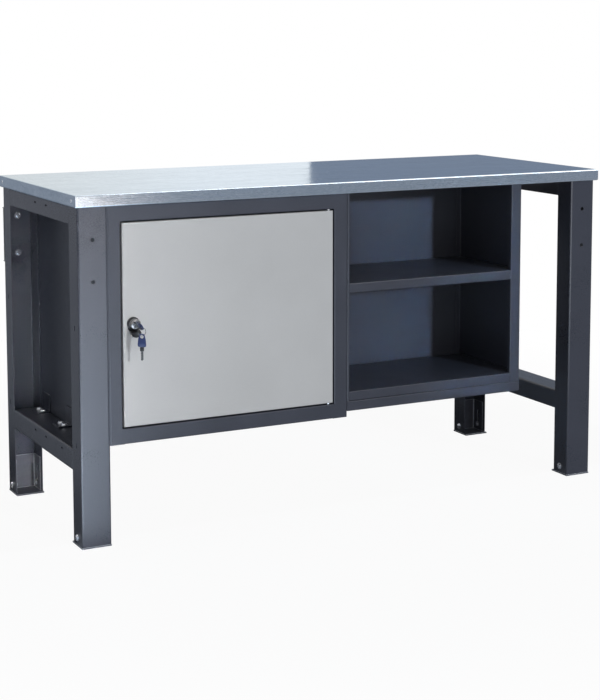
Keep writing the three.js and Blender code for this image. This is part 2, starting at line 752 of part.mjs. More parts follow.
// Lock: a flanged barrel through the pull and the door, with a nut behind the door skin.
const barrel = turned('y', [
  [plugRadius + plugPlay, 0],
  [barrelFlangeRadius - pullEdge, 0],
  [barrelFlangeRadius, pullEdge],
  [barrelFlangeRadius, barrelFlange],
  [barrelRadius, barrelFlange],
  [barrelRadius, barrelRear - barrelFront],
  [plugRadius + plugPlay, barrelRear - barrelFront],
  [plugRadius + plugPlay, 0],
], [lockX, barrelFront, lockZ]);
add(lock, 'lock_barrel', barrel, 'chrome');
const nutFace = frontFace + panelSheet + seat;
const nutBlank = rod('y', hexRadius(lockNutWidth), [lockX, nutFace, lockZ], lockNutHeight, 6);
const nutBore = rod('y', barrelRadius + barrelPlay, [lockX, nutFace - 1, lockZ], lockNutHeight + 2);
add(lock, 'lock_nut', cut(nutBlank, nutBore), 'zinc');

// Plug: turns in the barrel, carries the cam on its spigot and takes the key in its slot.
const plugRear = camFront - seat;
const screwFace = camFront + camSheet + seat;
const plugBody = turned('y', [
  [0, 0],
  [plugRadius, 0],
  [plugRadius, plugRear - plugFront],
  [spigotRadius, plugRear - plugFront],
  [spigotRadius, screwFace - plugFront],
  [camScrewRadius, screwFace - plugFront],
  [camScrewRadius, screwFace + camScrewHead - plugFront],
  [0, screwFace + camScrewHead - plugFront],
], [lockX, plugFront, lockZ]);
const keywayBlank = new THREE.BoxGeometry(
  keySheet + 2 * keyPlay, 2 * (keyBladeLength + keyPlay), keyBladeHeight + 2 * keyPlay);
const keyway = toSolid(keywayBlank.rotateY(keyTurn).translate(lockX, plugFront, lockZ));
add(lock, 'lock_plug', cut(plugBody, keyway), 'chrome');
const camShape = new THREE.Shape();
camShape.absarc(lockX, lockZ, camHalfWidth, 0, Math.PI);
camShape.lineTo(lockX - camHalfWidth, lockZ - camLength);
camShape.lineTo(lockX + camHalfWidth, lockZ - camLength);
const camBlank = alongY(camShape, camFront, camFront + camSheet, lobeSteps);
const camHole = rod('y', spigotRadius + plugPlay, [lockX, camFront - 1, lockZ], camSheet + 2);
add(lock, 'lock_cam', cut(camBlank, camHole), 'zinc');

// A key is drawn hanging by its ring hole, blade down, with its flat side facing X.
const bowTop = bowHoleInset;
const bowFoot = bowTop - bowLength;
const shoulderFoot = bowFoot - keyShoulder;
function keyBlade() {
  const outline = new THREE.Shape();
  const tang = keyTangHeight / 2;
  const shoulder = keyShoulderHeight / 2;
  const blade = keyBladeHeight / 2;
  const cutStep = keyBladeLength / (keyCuts + 1);
  const tip = shoulderFoot - keyBladeLength;
  outline.moveTo(tang, bowFoot + keyTang);
  outline.lineTo(-tang, bowFoot + keyTang);
  outline.lineTo(-tang, bowFoot - seat);
  outline.lineTo(-shoulder, bowFoot - seat);
  outline.lineTo(-shoulder, shoulderFoot);
  outline.lineTo(-blade, shoulderFoot);
  outline.lineTo(-blade, tip + blade);
  outline.lineTo(0, tip);
  outline.lineTo(blade, tip + blade);
  for (let i = keyCuts; i > 0; i -= 1) {
    const z = shoulderFoot - i * cutStep + cutStep / 2;
    outline.lineTo(blade, z - cutStep / 3);
    outline.lineTo(blade - keyCutDepth, z);
    outline.lineTo(blade, z + cutStep / 3);
  }
  outline.lineTo(blade, shoulderFoot);
  outline.lineTo(shoulder, shoulderFoot);
  outline.lineTo(shoulder, bowFoot - seat);
  outline.lineTo(tang, bowFoot - seat);
  return alongX(outline, -keySheet / 2, keySheet / 2);
}
function keyBow() {
  const outline = new THREE.Shape();
  const tip = bowTipWidth / 2;
  const wide = bowWidth / 2;
  const corner = wide - tip;
  const foot = wide - bowCorner;
  outline.moveTo(-foot, bowFoot);
  outline.lineTo(foot, bowFoot);
  outline.lineTo(wide, bowFoot + 2 * bowCorner);
  outline.quadraticCurveTo(wide, bowTop - corner, tip, bowTop - corner / 2);
  outline.quadraticCurveTo(tip - corner, bowTop, 0, bowTop);
  outline.quadraticCurveTo(corner - tip, bowTop, -tip, bowTop - corner / 2);
  outline.quadraticCurveTo(-wide, bowTop - corner, -wide, bowFoot + 2 * bowCorner);
  const blank = alongX(outline, -bowThickness / 2, bowThickness / 2, lobeSteps);
  const hole = rod('x', bowHoleRadius, [-bowThickness, 0, 0], 2 * bowThickness);
  const pocketHalf = keyTangHeight / 2 + keyPlay;
  const pocket = box(
    -keySheet / 2 - keyPlay, keySheet / 2 + keyPlay, -pocketHalf, pocketHalf,
    bowFoot - 1, bowFoot + keyTang + keyPlay);
  return cut(blank, hole, pocket);
}
const turnedKey = subgroup(lock);
turnedKey.position.set(lockX, keyHoleY, lockZ);
turnedKey.rotation.set(Math.PI / 2, keyTurn, 0, 'YXZ');
add(turnedKey, 'key_blade', keyBlade(), 'keySteel');
add(turnedKey, 'key_bow', keyBow(), 'bluePlastic');
const ring = new THREE.TorusGeometry(ringRadius, ringWire, 8, 2 * roundSides).rotateX(Math.PI / 2);
add(lock, 'key_ring', toSolid(ring), 'keySteel').position.set(lockX, keyHoleY, ringZ);
const spareKey = subgroup(lock);
spareKey.position.set(lockX, keyHoleY, spareHoleZ);
spareKey.rotation.z = spareKeyTurn;
add(spareKey, 'spare_key_blade', keyBlade(), 'keySteel');
add(spareKey, 'spare_key_bow', keyBow(), 'bluePlastic');

// Shelf unit: sides and back stand on a folded base, with two shelves between them.
const unit = subgroup(bench);
const unitBasePan = foldedPan(
  unitWidth, unitDepth, unitBase, panelSheet, panelInnerBend, unitBaseReturn);
const unitBaseMesh = add(unit, 'unit_base', unitBasePan, 'darkPaint');
unitBaseMesh.position.set((unitLeft + unitRight) / 2, (frontFace + unitRear) / 2, unitBaseTop);
const unitSideBottom = unitBaseTop + seat;
const unitLeftSection = foldedSection([
  [unitLeft + rearFlange, unitRear],
  [unitLeft, unitRear],
  [unitLeft, frontFace],
  [unitLeft + unitFrontReturn, frontFace],
], panelSheet, panelInnerBend, 1);
add(unit, 'unit_left_side', alongZ(unitLeftSection, unitSideBottom, frameTop), 'darkPaint');
const unitRightSection = foldedSection([
  [unitRight - rearFlange, unitRear],
  [unitRight, unitRear],
  [unitRight, frontFace],
  [unitRight - unitFlange, frontFace],
  [unitRight - unitFlange, frontFace + unitFlangeReturn],
], panelSheet, panelInnerBend, -1);
add(unit, 'unit_right_side', alongZ(unitRightSection, unitSideBottom, frameTop), 'darkPaint');
const unitBack = box(
  unitLeft, unitRight, unitRear + seat, unitRear + seat + panelSheet, unitBottom, frameTop);
add(unit, 'unit_back', unitBack, 'darkPaint');
const unitNotches = [
  box(unitLeft, unitLeft + unitFrontReturn + seat,
    frontFace - 1, frontFace + panelSheet + panelInnerBend + seat, 0, benchHeight),
  box(unitRight - unitFlange - seat, unitRight,
    frontFace - 1, frontFace + unitFlangeReturn + seat, 0, benchHeight),
];
const unitShelfRear = unitRear - panelSheet - panelInnerBend - seat;
const unitShelfTops = {
  unit_middle_shelf: unitBaseTop + unitShelfRise,
  unit_bottom_shelf: unitSideBottom + unitShelfLip,
};
for (const [name, top] of Object.entries(unitShelfTops)) {
  const section = shelfSection(frontFace, unitShelfRear, top, unitShelfLip);
  const blank = alongX(section, unitLeft + panelSheet + seat, unitRight - panelSheet - seat);
  add(unit, name, cut(blank, ...unitNotches), 'darkPaint');
}

export default bench;
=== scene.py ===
# A steel workshop bench: galvanised worktop, channel legs, a lockable cabinet and an open shelf unit.
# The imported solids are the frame; this script gives them their finishes, small fittings and light.
import json
import math

import bmesh
import bpy
from mathutils import Matrix, Vector


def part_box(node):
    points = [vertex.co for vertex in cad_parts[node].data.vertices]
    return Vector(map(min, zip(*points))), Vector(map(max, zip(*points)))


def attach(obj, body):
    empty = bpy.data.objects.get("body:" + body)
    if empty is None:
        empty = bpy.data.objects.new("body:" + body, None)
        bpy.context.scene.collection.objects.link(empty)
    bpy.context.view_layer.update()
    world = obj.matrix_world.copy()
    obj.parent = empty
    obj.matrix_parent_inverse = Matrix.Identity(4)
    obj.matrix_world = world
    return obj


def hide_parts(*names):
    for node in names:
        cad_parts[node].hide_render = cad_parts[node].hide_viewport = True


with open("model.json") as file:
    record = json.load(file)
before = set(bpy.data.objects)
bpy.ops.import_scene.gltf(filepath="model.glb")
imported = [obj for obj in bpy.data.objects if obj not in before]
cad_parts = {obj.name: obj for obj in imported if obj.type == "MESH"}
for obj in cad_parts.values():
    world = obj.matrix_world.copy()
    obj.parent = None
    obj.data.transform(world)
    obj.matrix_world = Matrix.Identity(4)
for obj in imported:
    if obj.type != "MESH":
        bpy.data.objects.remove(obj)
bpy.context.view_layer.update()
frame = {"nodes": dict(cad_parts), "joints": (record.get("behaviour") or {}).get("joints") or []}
nodes = frame["nodes"]
scene = bpy.context.scene
scene.view_settings.view_transform = "Standard"


# The camera stands to the left of the bench, a little above the worktop, with a long lens.
# Its shift keeps the legs nearly upright, as a view camera does.
worktop_low, worktop_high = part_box("worktop_tray")
worktop_middle = (worktop_low + worktop_high) / 2
camera_data = bpy.data.cameras.new("camera")
camera_data.lens = 84.80
camera_data.shift_x = 0.0073
camera_data.shift_y = -0.2
camera_data.clip_end = 100
camera = bpy.data.objects.new("camera", camera_data)
camera.location = (-2.01917, worktop_middle.y - 3.91897, 1.24090)
camera.rotation_euler = (math.radians(90 - 6.38), math.radians(0.11), math.radians(-26.97))
scene.collection.objects.link(camera)
scene.camera = camera


# The surround is white to the camera and in polished metal, and a soft grey light for the rest.
# So the ground of the picture is plain white without lighting the bench too strongly.
world = bpy.data.worlds.new("surround")
scene.world = world
world.use_nodes = True
sky = world.node_tree
sky.nodes.clear()
sky_output = sky.nodes.new("ShaderNodeOutputWorld")
sky_mix = sky.nodes.new("ShaderNodeMixShader")
sky_light = sky.nodes.new("ShaderNodeBackground")
sky_light.inputs["Color"].default_value = (0.97, 0.98, 1.0, 1)
sky_light.inputs["Strength"].default_value = 0.28
sky_white = sky.nodes.new("ShaderNodeBackground")
sky_white.inputs["Color"].default_value = (1, 1, 1, 1)
sky_path = sky.nodes.new("ShaderNodeLightPath")
sky_seen = sky.nodes.new("ShaderNodeMath")
sky_seen.operation = "MAXIMUM"
sky_shown = sky.nodes.new("ShaderNodeMath")
sky_shown.operation = "MAXIMUM"
sky.links.new(sky_path.outputs["Is Camera Ray"], sky_seen.inputs[0])
sky.links.new(sky_path.outputs["Is Glossy Ray"], sky_seen.inputs[1])
sky.links.new(sky_seen.outputs[0], sky_shown.inputs[0])
sky.links.new(sky_path.outputs["Is Transmission Ray"], sky_shown.inputs[1])
sky.links.new(sky_shown.outputs[0], sky_mix.inputs["Fac"])
sky.links.new(sky_light.outputs[0], sky_mix.inputs[1])
sky.links.new(sky_white.outputs[0], sky_mix.inputs[2])
sky.links.new(sky_mix.outputs[0], sky_output.inputs["Surface"])


# The floor is a pale sheet that fades into the white surround and keeps a soft shadow. In front,
# at the left, it carries a pool of brighter light that only gloss mirrors, as on the left leg.
def finished_object(name, mesh, material):
    """Turns a bmesh, in place in metres, into an object that sits at the origin."""
    data = bpy.data.meshes.new(name)
    mesh.to_mesh(data)
    mesh.free()
    data.materials.append(material)
    made = bpy.data.objects.new(name, data)
    scene.collection.objects.link(made)
    return made


floor_material = bpy.data.materials.new("studio_floor")
floor_material.use_nodes = True
floor_tree = floor_material.node_tree
floor_tree.nodes.clear()
floor_output = floor_tree.nodes.new("ShaderNodeOutputMaterial")
floor_diffuse = floor_tree.nodes.new("ShaderNodeBsdfDiffuse")
floor_diffuse.inputs["Color"].default_value = (0.70, 0.76, 0.86, 1)
floor_glow = floor_tree.nodes.new("ShaderNodeEmission")
floor_mix = floor_tree.nodes.new("ShaderNodeMixShader")
floor_path = floor_tree.nodes.new("ShaderNodeLightPath")
floor_place = floor_tree.nodes.new("ShaderNodeTexCoord")
floor_reach = floor_tree.nodes.new("ShaderNodeVectorMath")
floor_reach.operation = "LENGTH"
floor_tree.links.new(floor_place.outputs["Object"], floor_reach.inputs[0])


def floor_ramp(value, start, stop, low, high):
    """A smooth step over the floor."""
    ramp = floor_tree.nodes.new("ShaderNodeMapRange")
    ramp.interpolation_type = "SMOOTHSTEP"
    ramp.inputs["From Min"].default_value = start
    ramp.inputs["From Max"].default_value = stop
    ramp.inputs["To Min"].default_value = low
    ramp.inputs["To Max"].default_value = high
    floor_tree.links.new(value, ramp.inputs["Value"])
    return ramp.outputs["Result"]


def floor_maths(operation, first, second):
    node = floor_tree.nodes.new("ShaderNodeMath")
    node.operation = operation
    floor_tree.links.new(first, node.inputs[0])
    floor_tree.links.new(second, node.inputs[1])
    return node.outputs[0]


pool_slant = (1, 0.42, 0)
pool_strength = 3.95
far_tint = (0.60, 0.46, 0.38, 1)
near_tint = (0.74, 0.87, 1, 1)
pool_across = floor_tree.nodes.new("ShaderNodeVectorMath")
pool_across.operation = "DOT_PRODUCT"
pool_across.inputs[1].default_value = pool_slant
floor_tree.links.new(floor_place.outputs["Object"], pool_across.inputs[0])
pool_along = floor_tree.nodes.new("ShaderNodeSeparateXYZ")
floor_tree.links.new(floor_place.outputs["Object"], pool_along.inputs[0])
pool_edge = floor_ramp(pool_across.outputs["Value"], -1.15, -0.55, pool_strength, 0)
pool_side = floor_ramp(pool_across.outputs["Value"], -2.4, -1.8, 0, 1)
pool_end = floor_ramp(pool_along.outputs["Y"], -7.5, -4.5, 0, 1)
pool_front = floor_ramp(pool_along.outputs["Y"], -0.5, -0.2, 1, 0)
pool_width = floor_maths("MULTIPLY", pool_edge, pool_side)
pool_length = floor_maths("MULTIPLY", pool_end, pool_front)
pool = floor_maths("MULTIPLY", pool_width, pool_length)
floor_pool = floor_tree.nodes.new("ShaderNodeEmission")
pool_tint = floor_tree.nodes.new("ShaderNodeMix")
pool_tint.data_type = "RGBA"
pool_tint.inputs["A"].default_value = far_tint
pool_tint.inputs["B"].default_value = near_tint
floor_tree.links.new(floor_ramp(pool_along.outputs["Y"], -5.6, -3.6, 0, 1), pool_tint.inputs["Factor"])
floor_tree.links.new(pool_tint.outputs["Result"], floor_pool.inputs["Color"])
pool_mirrored = floor_maths("MULTIPLY", pool, floor_path.outputs["Is Glossy Ray"])
floor_tree.links.new(pool_mirrored, floor_pool.inputs["Strength"])
floor_lit = floor_tree.nodes.new("ShaderNodeAddShader")
floor_tree.links.new(floor_diffuse.outputs[0], floor_lit.inputs[0])
floor_tree.links.new(floor_pool.outputs[0], floor_lit.inputs[1])
floor_fade = floor_ramp(floor_reach.outputs["Value"], 0.9, 2.4, 0.95, 1.0)
floor_seen = floor_maths(
    "MAXIMUM", floor_path.outputs["Is Camera Ray"], floor_path.outputs["Is Transmission Ray"])
floor_tree.links.new(floor_maths("MULTIPLY", floor_fade, floor_seen), floor_mix.inputs["Fac"])
floor_tree.links.new(floor_lit.outputs[0], floor_mix.inputs[1])
floor_tree.links.new(floor_glow.outputs[0], floor_mix.inputs[2])
floor_tree.links.new(floor_mix.outputs[0], floor_output.inputs["Surface"])
floor_half = 30
floor_mesh = bmesh.new()
bmesh.ops.create_grid(floor_mesh, x_segments=1, y_segments=1, size=floor_half)
floor = finished_object("floor", floor_mesh, floor_material)


# Cards stand around the bench out of view. They are what its metal and gloss mirror: grey ones
# behind at the right, behind at the left and in front, a white one overhead with a bright strip
# that lights the front bend, and one far behind that turns a little grey towards the left.
def studio_card(name, card_corners, colour, strength=1):
    material = bpy.data.materials.new(name)
    material.use_nodes = True
    shader = material.node_tree.nodes["Principled BSDF"]
    shader.inputs["Base Color"].default_value = (0, 0, 0, 1)
    shader.inputs["Roughness"].default_value = 1
    shader.inputs["Emission Color"].default_value = (*colour, 1)
    shader.inputs["Emission Strength"].default_value = strength
    mesh = bmesh.new()
    mesh.faces.new([mesh.verts.new(corner) for corner in card_corners])
    card = finished_object(name, mesh, material)
    card.visible_camera = False
    card.visible_diffuse = False
    card.visible_shadow = False
    return card


def upright(left, right, low, high):
    return [(*left, low), (*right, low), (*right, high), (*left, high)]


studio_card("card_rear_right", upright((1.67, 3.20), (7.0, 0.43), 0.3, 5.0), (0.230, 0.272, 0.352))
studio_card("card_rear_left", upright((-6.5, 2.5), (-1.0, 6.0), -0.5, 5.0), (0.31, 0.33, 0.38))
studio_card("card_front", upright((-6.0, -8.0), (11.0, -8.0), -0.5, 6.0), (0.228, 0.268, 0.345))
overhead = [(-3.5, -2.6, 2.6), (4.5, -2.6, 2.6), (4.5, 3.4, 2.6), (-1.5, 5.4, 2.6), (-3.5, 4.3, 2.6)]
studio_card("card_overhead", overhead, (1, 1, 1), 1.1)
bend_strip = [(-0.6, -2.85, 2.55), (3.6, -2.85, 2.55), (3.6, -2.2, 2.55), (-0.6, -2.2, 2.55)]
studio_card("card_bend", bend_strip, (1, 1, 1), 4.5)
rear_card = studio_card("card_rear", upright((-3.0, 7.5), (5.5, 7.5), -0.5, 5.0), (1, 1, 1), 1.06)
rear_tree = rear_card.data.materials[0].node_tree
rear_place = rear_tree.nodes.new("ShaderNodeTexCoord")
rear_across = rear_tree.nodes.new("ShaderNodeSeparateXYZ")
rear_share = rear_tree.nodes.new("ShaderNodeMapRange")
rear_share.inputs["From Min"].default_value = 1.3
rear_share.inputs["From Max"].default_value = 3.0
rear_tint = rear_tree.nodes.new("ShaderNodeMix")
rear_tint.data_type = "RGBA"
rear_tint.inputs["A"].default_value = (0.86, 0.84, 0.80, 1)
rear_tint.inputs["B"].default_value = (1, 1, 1, 1)
rear_tree.links.new(rear_place.outputs["Object"], rear_across.inputs[0])
rear_tree.links.new(rear_across.outputs["X"], rear_share.inputs["Value"])
rear_tree.links.new(rear_share.outputs["Result"], rear_tint.inputs["Factor"])
rear_tree.links.new(rear_tint.outputs["Result"], rear_tree.nodes["Principled BSDF"].inputs["Emission Color"])


# Light: a low sun-like lamp from the front, a little to the right, a large soft box in front and
# narrow ones on the left frame, the lock side of the door and the shelf unit. Black flags keep
# the lamp off the rear foot at the right, and the floor's light off the frame.
sun_data = bpy.data.lights.new("front_lamp", "SUN")
sun_data.energy = 1.63
sun_data.angle = math.radians(2.2)
sun = bpy.data.objects.new("front_lamp", sun_data)
lamp_path = Vector((-0.21, 1, -0.19))
sun.rotation_euler = lamp_path.to_track_quat("-Z", "Y").to_euler()
sun.visible_glossy = False
scene.collection.objects.link(sun)
flag_black = bpy.data.materials.new("flag_black")
flag_black.use_nodes = True
flag_black.node_tree.nodes["Principled BSDF"].inputs["Base Color"].default_value = (0, 0, 0, 1)
flag_places = {
    "flag_right": [(0.84, -0.6, 0.15), (0.94, -0.6, 0.15), (0.94, -0.6, 0.32), (0.84, -0.6, 0.32)],
    "flag_under": [(-0.92, -0.2, 0.002), (1.1, -0.2, 0.002), (1.1, 1.4, 0.002), (-0.92, 1.4, 0.002)],
}
for flag_name, flag_corners in flag_places.items():
    flag_mesh = bmesh.new()
    flag_mesh.faces.new([flag_mesh.verts.new(corner) for corner in flag_corners])
    flag = finished_object(flag_name, flag_mesh, flag_black)
    flag.visible_camera = False
    flag.visible_glossy = False
    flag.visible_transmission = False
    flag.visible_shadow = flag_name == "flag_right"


def soft_box(name, stand, aim, width, height, spread, power, colour, mirrored=False):
    """An area lamp that stands at one place and aims at another. Gloss mirrors it where told."""
    data = bpy.data.lights.new(name, "AREA")
    data.shape = "RECTANGLE"
    data.size = width
    data.size_y = height
    data.spread = math.radians(spread)
    data.energy = power
    data.color = colour
    box = bpy.data.objects.new(name, data)
    box.location = stand
    box.rotation_euler = (Vector(aim) - Vector(stand)).to_track_quat("-Z", "Y").to_euler()
    box.visible_glossy = mirrored
    scene.collection.objects.link(box)


soft_box(
    "front_soft_box", (0.05, -5.5, 1.3), (0.05, 0, 1.3), 2.2, 3.4, 180, 30, (1.0, 0.94, 0.88), mirrored=True)
soft_box("left_soft_box", (-1.30, -3.2, 0.60), (-0.73, 0.30, 0.36), 0.14, 0.9, 8, 0.62, (1.0, 0.95, 0.90))
soft_box("door_soft_box", (-0.95, -3.4, 0.45), (-0.66, -0.26, 0.50), 0.30, 1.0, 14, 0.22, (1.0, 0.99, 0.98))
soft_box("unit_soft_box", (1.38, -4.26, 1.35), (0.31, 0.03, 0.50), 0.10, 1.2, 6, 0.66, (0.40, 0.68, 1.0))


# The worktop tray is 1.5 mm galvanised sheet, folded down on all sides and turned in below.
# The zinc is bright and slightly hazy, with soft crystals and the faint drag marks of rolling.
def soften(name, width):
    """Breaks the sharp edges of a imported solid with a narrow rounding, as deburred sheet has."""
    weld = nodes[name].modifiers.new("weld", "WELD")
    weld.merge_threshold = 1e-6
    rounding = nodes[name].modifiers.new("rounding", "BEVEL")
    rounding.width = width
    rounding.segments = 2
    rounding.limit_method = "ANGLE"
    rounding.angle_limit = math.radians(18)
    rounding.harden_normals = True


def principled(name):
    """A new material: its nodes, its shader, and the place on the surface in metres."""
    material = bpy.data.materials.new(name)
    material.use_nodes = True
    tree = material.node_tree
    place = tree.nodes.new("ShaderNodeTexCoord").outputs["Object"]
    return material, tree, tree.nodes["Principled BSDF"], place


def noise(tree, place, scale, detail=2.0, roughness=0.5, stretch=None):
    """Noise on the surface; a stretch gives its scale along each axis."""
    texture = tree.nodes.new("ShaderNodeTexNoise")
    texture.inputs["Scale"].default_value = scale
    texture.inputs["Detail"].default_value = detail
    texture.inputs["Roughness"].default_value = roughness
    if stretch:
        mapping = tree.nodes.new("ShaderNodeMapping")
        mapping.inputs["Scale"].default_value = stretch
        tree.links.new(place, mapping.inputs["Vector"])
        place = mapping.outputs["Vector"]
    tree.links.new(place, texture.inputs["Vector"])
    return texture.outputs["Fac"]


def between(tree, share, low, high):
    """A colour between two, by a share that varies over the surface."""
    mix = tree.nodes.new("ShaderNodeMix")
    mix.data_type = "RGBA"
    mix.inputs["A"].default_value = (*low, 1)
    mix.inputs["B"].default_value = (*high, 1)
    tree.links.new(share, mix.inputs["Factor"])
    return mix.outputs["Result"]


def spread(tree, value, low, high, start=0.3, stop=0.7):
    """Maps the middle of a noise onto a range."""
    node = tree.nodes.new("ShaderNodeMapRange")
    node.inputs["From Min"].default_value = start
    node.inputs["From Max"].default_value = stop
    node.inputs["To Min"].default_value = low
    node.inputs["To Max"].default_value = high
    tree.links.new(value, node.inputs["Value"])
    return node.outputs["Result"]


def bump(tree, shader, height, strength, distance):
    node = tree.nodes.new("ShaderNodeBump")
    node.inputs["Strength"].default_value = strength
    node.inputs["Distance"].default_value = distance
    tree.links.new(height, node.inputs["Height"])
    tree.links.new(node.outputs["Normal"], shader.inputs["Normal"])


def finish(name, material, rounding):
    """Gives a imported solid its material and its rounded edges."""
    nodes[name].data.materials.clear()
    nodes[name].data.materials.append(material)
    soften(name, rounding)


galvanised, tree, shader, place = principled("galvanised_sheet")
crystals = tree.nodes.new("ShaderNodeTexVoronoi")
crystals.inputs["Scale"].default_value = 1
crystal_size = tree.nodes.new("ShaderNodeMapping")
crystal_size.inputs["Scale"].default_value = (160, 40, 160)
tree.links.new(place, crystal_size.inputs["Vector"])
tree.links.new(crystal_size.outputs["Vector"], crystals.inputs["Vector"])
cloud = noise(tree, place, 12, 7, 0.7, (0.5, 1.3, 1.3))
drag = noise(tree, place, 1, 5, 0.6, (9, 500, 500))
crystal_grey = tree.nodes.new("ShaderNodeRGBToBW")
tree.links.new(crystals.outputs["Color"], crystal_grey.inputs["Color"])
mottle = tree.nodes.new("ShaderNodeMath")
mottle.operation = "MULTIPLY_ADD"
mottle.inputs[1].default_value = 0.45
tree.links.new(crystal_grey.outputs[0], mottle.inputs[0])
tree.links.new(spread(tree, cloud, 0.05, 0.5, 0.35, 0.65), mottle.inputs[2])
zinc_tone = between(tree, mottle.outputs[0], (0.52, 0.60, 0.67), (0.79, 0.85, 0.90))
tree.links.new(zinc_tone, shader.inputs["Base Color"])
shader.inputs["Specular Tint"].default_value = (0.74, 0.81, 0.87, 1)
tree.links.new(spread(tree, mottle.outputs[0], 0.90, 1, 0, 1), shader.inputs["Metallic"])
tree.links.new(spread(tree, cloud, 0.15, 0.07), shader.inputs["Roughness"])
ripple = tree.nodes.new("ShaderNodeMath")
ripple.operation = "MULTIPLY_ADD"
ripple.inputs[1].default_value = 6
tree.links.new(cloud, ripple.inputs[0])
tree.links.new(drag, ripple.inputs[2])
bump(tree, shader, ripple.outputs[0], 0.12, 0.0004)
finish("worktop_tray", galvanised, 0.0006)


# The board under the sheet is raw particle board: pressed chips of several browns. It shows only
# from below.
chipboard, tree, shader, place = principled("particle_board")
chips = tree.nodes.new("ShaderNodeTexVoronoi")
chips.inputs["Scale"].default_value = 240
tree.links.new(place, chips.inputs["Vector"])
chip_tone = between(tree, chips.outputs["Color"], (0.36, 0.25, 0.14), (0.60, 0.46, 0.30))
tree.links.new(chip_tone, shader.inputs["Base Color"])
shader.inputs["Roughness"].default_value = 0.85
bump(tree, shader, chips.outputs["Distance"], 0.3, 0.0004)
finish("worktop_board", chipboard, 0.0004)


# The side frames are folded channels of 2.5 mm steel, powder coated in a dark blue grey. The coat
# has the fine pitted skin of sprayed powder and a dull sheen that varies a little.
powder = bpy.data.node_groups.new("powder_coat", "ShaderNodeTree")
for socket, kind, value in (
    ("Colour", "NodeSocketColor", (0.5, 0.5, 0.5, 1)),
    ("Grain", "NodeSocketFloat", 900.0),
    ("Mottle", "NodeSocketFloat", 0.1),
    ("Dull", "NodeSocketFloat", 0.5),
):
    powder.interface.new_socket(socket, in_out="INPUT", socket_type=kind).default_value = value
for socket, kind in (
    ("Colour", "NodeSocketColor"),
    ("Roughness", "NodeSocketFloat"),
    ("Height", "NodeSocketFloat"),
):
    powder.interface.new_socket(socket, in_out="OUTPUT", socket_type=kind)
powder_in = powder.nodes.new("NodeGroupInput")
powder_out = powder.nodes.new("NodeGroupOutput")
powder_place = powder.nodes.new("ShaderNodeTexCoord").outputs["Object"]
powder_grain = powder.nodes.new("ShaderNodeTexNoise")
powder_grain.inputs["Detail"].default_value = 3
powder_grain.inputs["Roughness"].default_value = 0.6
powder.links.new(powder_place, powder_grain.inputs["Vector"])
powder.links.new(powder_in.outputs["Grain"], powder_grain.inputs["Scale"])
powder_cloud = noise(powder, powder_place, 7, 5)
powder_both = powder.nodes.new("ShaderNodeMath")
powder_both.operation = "ADD"
powder.links.new(powder_grain.outputs["Fac"], powder_both.inputs[0])
powder.links.new(powder_cloud, powder_both.inputs[1])
powder_centre = powder.nodes.new("ShaderNodeMath")
powder_centre.operation = "SUBTRACT"
powder_centre.inputs[1].default_value = 1
powder.links.new(powder_both.outputs[0], powder_centre.inputs[0])
powder_swing = powder.nodes.new("ShaderNodeMath")
powder_swing.operation = "MULTIPLY_ADD"
powder_swing.inputs[2].default_value = 1
powder.links.new(powder_centre.outputs[0], powder_swing.inputs[0])
powder.links.new(powder_in.outputs["Mottle"], powder_swing.inputs[1])
powder_tone = powder.nodes.new("ShaderNodeVectorMath")
powder_tone.operation = "SCALE"
powder.links.new(powder_in.outputs["Colour"], powder_tone.inputs[0])
powder.links.new(powder_swing.outputs[0], powder_tone.inputs["Scale"])
powder.links.new(powder_tone.outputs["Vector"], powder_out.inputs["Colour"])
powder_rough = powder.nodes.new("ShaderNodeMath")
powder_rough.operation = "MULTIPLY"
powder.links.new(powder_in.outputs["Dull"], powder_rough.inputs[0])
powder.links.new(powder_swing.outputs[0], powder_rough.inputs[1])
powder.links.new(powder_rough.outputs[0], powder_out.inputs["Roughness"])
powder.links.new(powder_grain.outputs["Fac"], powder_out.inputs["Height"])


def powder_coated(name, colour, grain, mottle, dull, depth, shine):
    """Powder coated sheet. The depth is that of its pitted skin, in metres."""
    material, tree, shader, _ = principled(name)
    shader.inputs["Specular IOR Level"].default_value = shine
    coat = tree.nodes.new("ShaderNodeGroup")
    coat.node_tree = powder
    coat.inputs["Colour"].default_value = (*colour, 1)
    coat.inputs["Grain"].default_value = grain
    coat.inputs["Mottle"].default_value = mottle
    coat.inputs["Dull"].default_value = dull
    tree.links.new(coat.outputs["Colour"], shader.inputs["Base Color"])
    tree.links.new(coat.outputs["Roughness"], shader.inputs["Roughness"])
    bump(tree, shader, coat.outputs["Height"], 0.25, depth)
    return material


frame_coat = powder_coated("frame_coat", (0.032, 0.036, 0.052), 480, 0.36, 0.29, 0.0006, 0.9)
corners = ("front_left", "front_right", "rear_left", "rear_right")
frame_pieces = [f"{corner}_leg" for corner in corners]
frame_pieces += [f"{side}_{level}_crosspiece" for side in ("left", "right") for level in ("upper", "lower")]
frame_pieces += ["cabinet_bracket_front", "cabinet_bracket_rear", "rear_tie_panel"]
for piece in frame_pieces:
    finish(piece, frame_coat, 0.0005)


# The turned-in edges under the lower crosspieces are rolled into a small hem, which stiffens the
# thin sheet and leaves no sharp edge for the hand.
def round_edges(mesh, edges, radius, steps):
    bmesh.ops.bevel(
        mesh, geom=edges, offset=radius, segments=steps, profile=0.5, affect="EDGES", material=-1)


def shade(piece, sharp=40):
    """Shades a rounded piece smooth, up to edges sharper than an angle in degrees."""
    piece.data.shade_smooth()
    piece.data.set_sharp_from_angle(angle=math.radians(sharp))


